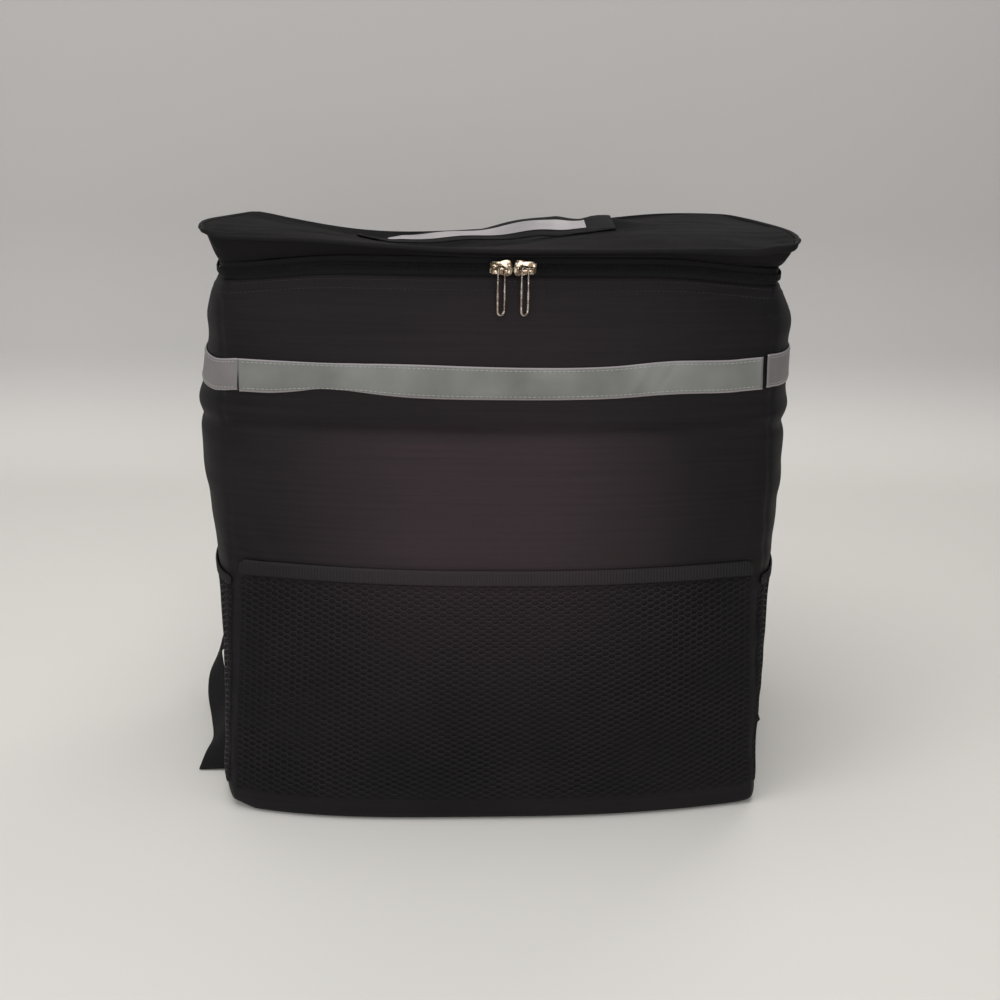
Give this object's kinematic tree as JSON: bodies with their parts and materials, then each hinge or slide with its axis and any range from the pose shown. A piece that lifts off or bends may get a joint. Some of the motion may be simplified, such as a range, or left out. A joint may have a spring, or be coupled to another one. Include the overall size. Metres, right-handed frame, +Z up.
{
  "type": "insulated backpack bag",
  "caption": "Tall padded insulated bag with zipped lid, carrying handle, reflective tape, net pockets and shoulder straps.",
  "frame": {"origin": "centre of the base, on the surface that the bag stands on", "axes": "+X to the bag's right seen from the front, +Y from the front with the zip sliders to the back with the straps, +Z up"},
  "size_m": [0.5342, 0.3161, 0.4731],
  "materials": {
    "bag_cloth": "black plain-woven polyester with a faint sheen",
    "trim": "black ribbed webbing and binding",
    "net": "black knitted net",
    "reflective": "grey reflective tape, satin",
    "nickel": "polished pale nickel",
    "buckle_plastic": "black moulded plastic"
  },
  "bodies": {
    "bag": {"body_shell": "bag_cloth", "lid": "bag_cloth", "lid_hinge_strip": "bag_cloth", "lid_piping": "trim", "zip_tape": "trim", "zip_chain_left": "trim", "zip_chain_right": "trim", "slider_left": "nickel", "slider_right": "nickel", "reflective_tape_front": "reflective", "reflective_tape_left": "reflective", "reflective_tape_right": "reflective", "pocket_net": "net", "pocket_hem": "trim", "side_pocket_net_left": "net", "side_pocket_net_right": "net", "side_pocket_hem_left": "trim", "side_pocket_hem_right": "trim", "handle_strap": "trim", "handle_stripe": "reflective", "strap_yoke": "bag_cloth", "left_shoulder_strap": "bag_cloth", "right_shoulder_strap": "bag_cloth", "left_buckle": "buckle_plastic", "right_buckle": "buckle_plastic", "left_buckle_loop": "trim", "right_buckle_loop": "trim", "left_webbing": "trim", "right_webbing": "trim", "left_anchor_tab": "bag_cloth", "right_anchor_tab": "bag_cloth"},
    "left_pull": {"pull_left": "nickel"},
    "right_pull": {"pull_right": "nickel"}
  },
  "joints": [
    {"name": "left_pull_swing", "type": "hinge", "parent": "bag", "child": "left_pull", "pos_m": [-0.00185, -0.14113, 0.4485], "axis": [-1, 0, 0], "range_deg": [0, 125]},
    {"name": "right_pull_swing", "type": "hinge", "parent": "bag", "child": "right_pull", "pos_m": [0.01545, -0.14113, 0.4485], "axis": [-1, 0, 0], "range_deg": [0, 125]}
  ]
}
